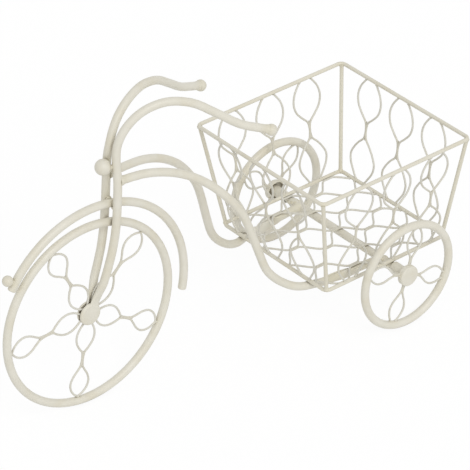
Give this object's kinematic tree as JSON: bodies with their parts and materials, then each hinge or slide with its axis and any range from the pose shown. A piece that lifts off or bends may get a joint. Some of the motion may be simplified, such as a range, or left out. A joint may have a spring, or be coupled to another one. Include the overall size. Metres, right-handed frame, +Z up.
{
  "type": "tricycle planter",
  "caption": "Ornamental tricycle of bent and welded rod with a curled handlebar, spoked wheels that turn and a flared wire basket for a plant pot.",
  "frame": {"origin": "middle of the bounding box, on the ground that the wheels stand on", "axes": "+Z up, -X toward the front wheel, -Y toward the left side, which the picture shows nearest"},
  "size_m": [0.5222, 0.222, 0.3272],
  "materials": {
    "painted_rod": "satin cream paint",
    "painted_wire": "satin cream paint",
    "axle_pin": "satin cream paint, hidden between the caps"
  },
  "bodies": {
    "frame": {"basket_floor_frame": "painted_rod", "basket_top_rim": "painted_rod", "floor_mesh": "painted_wire", "fork_cap_left": "painted_rod", "fork_cap_right": "painted_rod", "fork_rod_left": "painted_rod", "fork_rod_right": "painted_rod", "frame_rod_left": "painted_rod", "frame_rod_right": "painted_rod", "front_axle_pin": "axle_pin", "front_side_wires_left": "painted_wire", "front_side_wires_middle": "painted_wire", "front_side_wires_right": "painted_wire", "grip_ball_left": "painted_rod", "grip_ball_right": "painted_rod", "head_ball": "painted_rod", "left_side_wires_front": "painted_wire", "left_side_wires_middle": "painted_wire", "left_side_wires_rear": "painted_wire", "mudguard_ball": "painted_rod", "mudguard_rod": "painted_rod", "post_front_left": "painted_rod", "post_front_right": "painted_rod", "post_rear_left": "painted_rod", "post_rear_right": "painted_rod", "rear_axle": "painted_rod", "rear_rail_left": "painted_rod", "rear_rail_right": "painted_rod", "rear_side_wires_left": "painted_wire", "rear_side_wires_middle": "painted_wire", "rear_side_wires_right": "painted_wire", "right_side_wires_front": "painted_wire", "right_side_wires_middle": "painted_wire", "right_side_wires_rear": "painted_wire"},
    "front_wheel": {"front_hub": "painted_rod", "front_rim": "painted_rod", "front_spoke_1": "painted_wire", "front_spoke_2": "painted_wire", "front_spoke_3": "painted_wire", "front_spoke_4": "painted_wire", "front_spoke_5": "painted_wire"},
    "rear_wheel_left": {"rear_hub_left": "painted_rod", "rear_rim_left": "painted_rod", "rear_sleeve_left": "painted_rod", "rear_spoke_left_1": "painted_wire", "rear_spoke_left_2": "painted_wire", "rear_spoke_left_3": "painted_wire", "rear_spoke_left_4": "painted_wire"},
    "rear_wheel_right": {"rear_hub_right": "painted_rod", "rear_rim_right": "painted_rod", "rear_sleeve_right": "painted_rod", "rear_spoke_right_1": "painted_wire", "rear_spoke_right_2": "painted_wire", "rear_spoke_right_3": "painted_wire", "rear_spoke_right_4": "painted_wire"}
  },
  "joints": [
    {"name": "front_wheel_spin", "type": "hinge", "parent": "frame", "child": "front_wheel", "pos_m": [-0.15673, 0, 0.10435], "axis": [0, 1, 0], "continuous": true},
    {"name": "rear_wheel_left_spin", "type": "hinge", "parent": "frame", "child": "rear_wheel_left", "pos_m": [0.17128, -0.1056, 0.06135], "axis": [0, 1, 0], "continuous": true},
    {"name": "rear_wheel_right_spin", "type": "hinge", "parent": "frame", "child": "rear_wheel_right", "pos_m": [0.17128, 0.1056, 0.06135], "axis": [0, 1, 0], "continuous": true}
  ]
}
